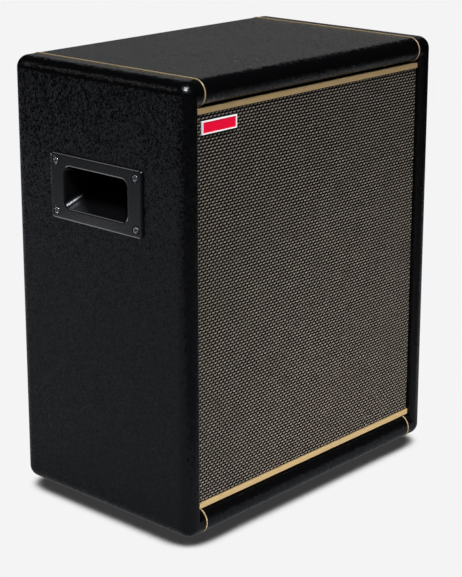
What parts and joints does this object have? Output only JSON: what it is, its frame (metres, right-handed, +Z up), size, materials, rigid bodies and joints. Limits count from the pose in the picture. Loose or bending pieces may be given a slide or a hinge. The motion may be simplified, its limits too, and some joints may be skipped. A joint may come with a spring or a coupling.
{
  "type": "guitar speaker cabinet",
  "caption": "Upright powered guitar speaker cabinet: vinyl-covered box with rounded edges, woven grille, gold trim, recessed side handles and a rear amplifier plate.",
  "frame": {"origin": "on the floor under the middle of the cabinet", "axes": "+X to the right as seen from the front, the front faces -Y, +Z up"},
  "size_m": [0.4538, 0.2834, 0.5407],
  "materials": {
    "plywood": "birch plywood, sanded",
    "black_board": "board painted black",
    "vinyl": "pebbled black vinyl",
    "piping": "cream-gold vinyl piping",
    "gold_trim": "satin gold anodised",
    "grille_cloth": "woven black and silver",
    "badge_white": "pale moulded border",
    "badge_red": "red enamel",
    "black_abs": "moulded, fine texture",
    "black_screw": "black oxide",
    "rubber": "moulded rubber",
    "basket": "cast, powder coated",
    "cone_paper": "pressed pulp, dark",
    "coil_copper": "enamelled copper wire",
    "spider_cloth": "treated cloth",
    "steel": "zinc plated",
    "ferrite": "sintered ferrite",
    "dome_silk": "coated silk",
    "amp_paint": "black powder coat",
    "circuit_board": "green solder mask",
    "heat_sink": "extruded",
    "winding_tape": "wrapped in tape",
    "nickel": "nickel plated",
    "knob": "moulded",
    "rocker": "moulded",
    "lead": "insulated wire",
    "damping": "polyester wadding"
  },
  "bodies": {
    "cabinet": {"edge_piping": "piping", "right_handle": "black_abs", "left_handle": "black_abs", "handle_screws": "black_screw", "rubber_feet": "rubber", "foot_screws": "black_screw", "right_side_panel": "plywood", "left_side_panel": "plywood", "top_panel": "plywood", "bottom_panel": "plywood", "front_rails": "plywood", "right_side_vinyl": "vinyl", "left_side_vinyl": "vinyl", "top_vinyl": "vinyl", "bottom_vinyl": "vinyl", "grille_frame": "plywood", "grille_cloth": "grille_cloth", "top_trim_bar": "gold_trim", "bottom_trim_bar": "gold_trim", "badge_border": "badge_white", "badge_plate": "badge_red", "woofer_basket": "basket", "woofer_gasket": "rubber", "woofer_surround": "rubber", "woofer_spider": "spider_cloth", "woofer_top_plate": "steel", "woofer_magnet": "ferrite", "woofer_pole_piece": "steel", "woofer_terminal": "black_abs", "tweeter_horn": "black_abs", "tweeter_motor": "steel", "driver_screws": "black_screw", "baffle_board": "black_board", "port_tubes": "black_abs", "amp_plate": "amp_paint", "amp_chassis": "steel", "circuit_board": "circuit_board", "heat_sink": "heat_sink", "power_transformer": "winding_tape", "volume_pot": "steel", "input_jacks": "black_abs", "control_nuts": "nickel", "switch_housings": "black_abs", "mains_inlet": "black_abs", "inlet_pins": "nickel", "power_switch_frame": "black_abs", "rear_panel": "black_board", "panel_battens": "plywood", "rear_screws": "black_screw", "speaker_leads": "lead", "damping_pads": "damping"},
    "woofer_moving": {"woofer_cone": "cone_paper", "woofer_dust_cap": "cone_paper", "woofer_voice_coil": "coil_copper"},
    "tweeter_moving": {"tweeter_dome": "dome_silk"},
    "volume_control": {"volume_knob": "knob", "volume_shaft": "steel"},
    "power_switch": {"power_rocker": "rocker"},
    "boost_switch": {"boost_button": "knob"},
    "lift_switch": {"lift_button": "knob"}
  },
  "joints": [
    {"name": "woofer_travel", "type": "slide", "parent": "cabinet", "child": "woofer_moving", "axis": [0, -1, 0], "range_m": [-0.005, 0.005], "stiffness_N_per_m": 3000, "deforming": ["woofer_surround", "woofer_spider"]},
    {"name": "tweeter_travel", "type": "slide", "parent": "cabinet", "child": "tweeter_moving", "axis": [0, -1, 0], "range_m": [-0.0002, 0.0002], "stiffness_N_per_m": 1500},
    {"name": "volume_turn", "type": "hinge", "parent": "cabinet", "child": "volume_control", "pos_m": [0.07, 0.1255, 0.369], "axis": [0, 1, 0], "range_deg": [-150, 150]},
    {"name": "power_tip", "type": "hinge", "parent": "cabinet", "child": "power_switch", "pos_m": [-0.01387, 0.1235, 0.296], "axis": [1, 0, 0], "range_deg": [0, 18]},
    {"name": "boost_press", "type": "slide", "parent": "cabinet", "child": "boost_switch", "axis": [0, -1, 0], "range_m": [0, 0.003], "stiffness_N_per_m": 300},
    {"name": "lift_press", "type": "slide", "parent": "cabinet", "child": "lift_switch", "axis": [0, -1, 0], "range_m": [0, 0.003], "stiffness_N_per_m": 300}
  ]
}
